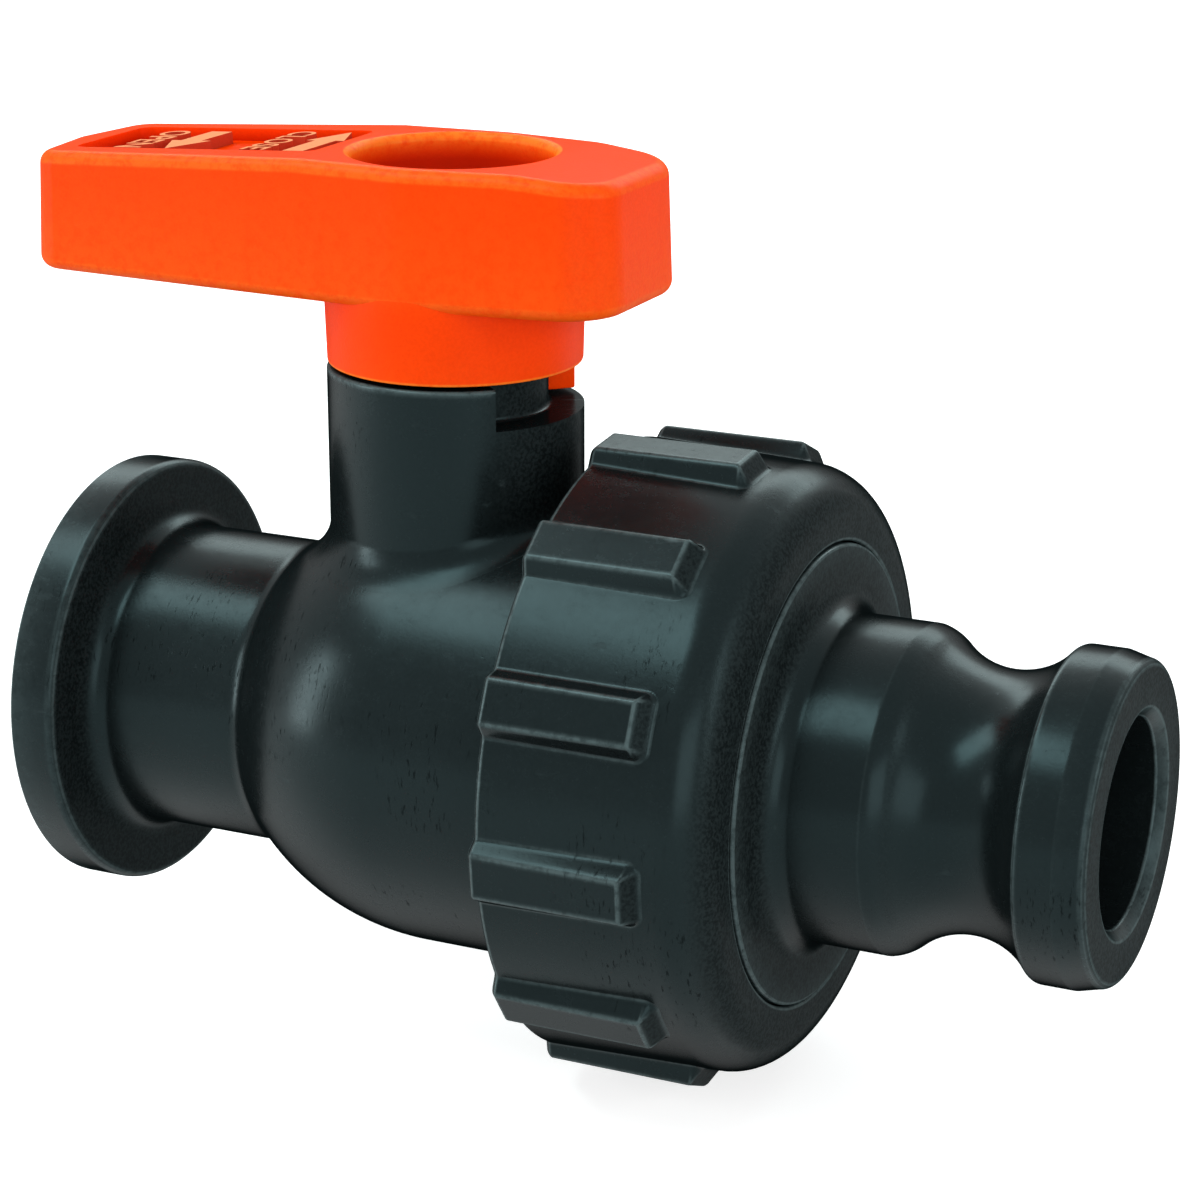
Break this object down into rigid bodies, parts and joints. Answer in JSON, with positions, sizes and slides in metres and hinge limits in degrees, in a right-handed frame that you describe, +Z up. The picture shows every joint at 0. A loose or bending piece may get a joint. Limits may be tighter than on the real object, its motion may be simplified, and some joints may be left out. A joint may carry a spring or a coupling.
{
  "type": "manifold flange ball valve",
  "caption": "Quarter-turn plastic ball valve with a manifold flange on one port, a lever handle, and a union nut that holds a male cam adapter.",
  "frame": {"origin": "centre of the manifold flange's face, on the flow axis", "axes": "+X along the flow axis towards the cam adapter, +Z up the stem to the handle"},
  "size_m": [0.1295, 0.072, 0.1014],
  "materials": {
    "black_plastic": "semi-gloss moulded polypropylene",
    "orange_plastic": "fine moulded grain",
    "seat_plastic": "turned white fluoropolymer",
    "seal_rubber": "smooth rubber",
    "insert_brass": "machined brass",
    "stainless": "bright stainless"
  },
  "bodies": {
    "body": {"valve_body": "black_plastic", "seat_inlet": "seat_plastic", "seat_oring_inlet": "seal_rubber", "seat_outlet": "seat_plastic", "seat_oring_outlet": "seal_rubber", "seat_carrier": "black_plastic", "carrier_oring": "seal_rubber", "face_oring": "seal_rubber"},
    "rotor": {"handle": "orange_plastic", "stem": "black_plastic", "ball": "black_plastic", "stem_thrust_washer": "seat_plastic", "stem_oring_lower": "seal_rubber", "stem_oring_upper": "seal_rubber", "stem_insert": "insert_brass", "flat_washer": "stainless", "lock_washer": "stainless", "handle_screw": "stainless"},
    "adapter": {"cam_adapter": "black_plastic"},
    "nut": {"union_nut": "black_plastic"}
  },
  "joints": [
    {"name": "handle_turn", "type": "hinge", "parent": "body", "child": "rotor", "pos_m": [0.0445, 0, 0], "axis": [0, 0, 1], "range_deg": [-90, 0]},
    {"name": "union_slide", "type": "slide", "parent": "body", "child": "adapter", "axis": [1, 0, 0], "range_m": [0, 0.0127]},
    {"name": "nut_spin", "type": "hinge", "parent": "adapter", "child": "nut", "pos_m": [0.076, 0, 0], "axis": [1, 0, 0], "range_deg": [0, 1440]}
  ],
  "couplings": [
    {"joint": "union_slide", "follows": "nut_spin", "m_per_rad": 0.00050532}
  ]
}
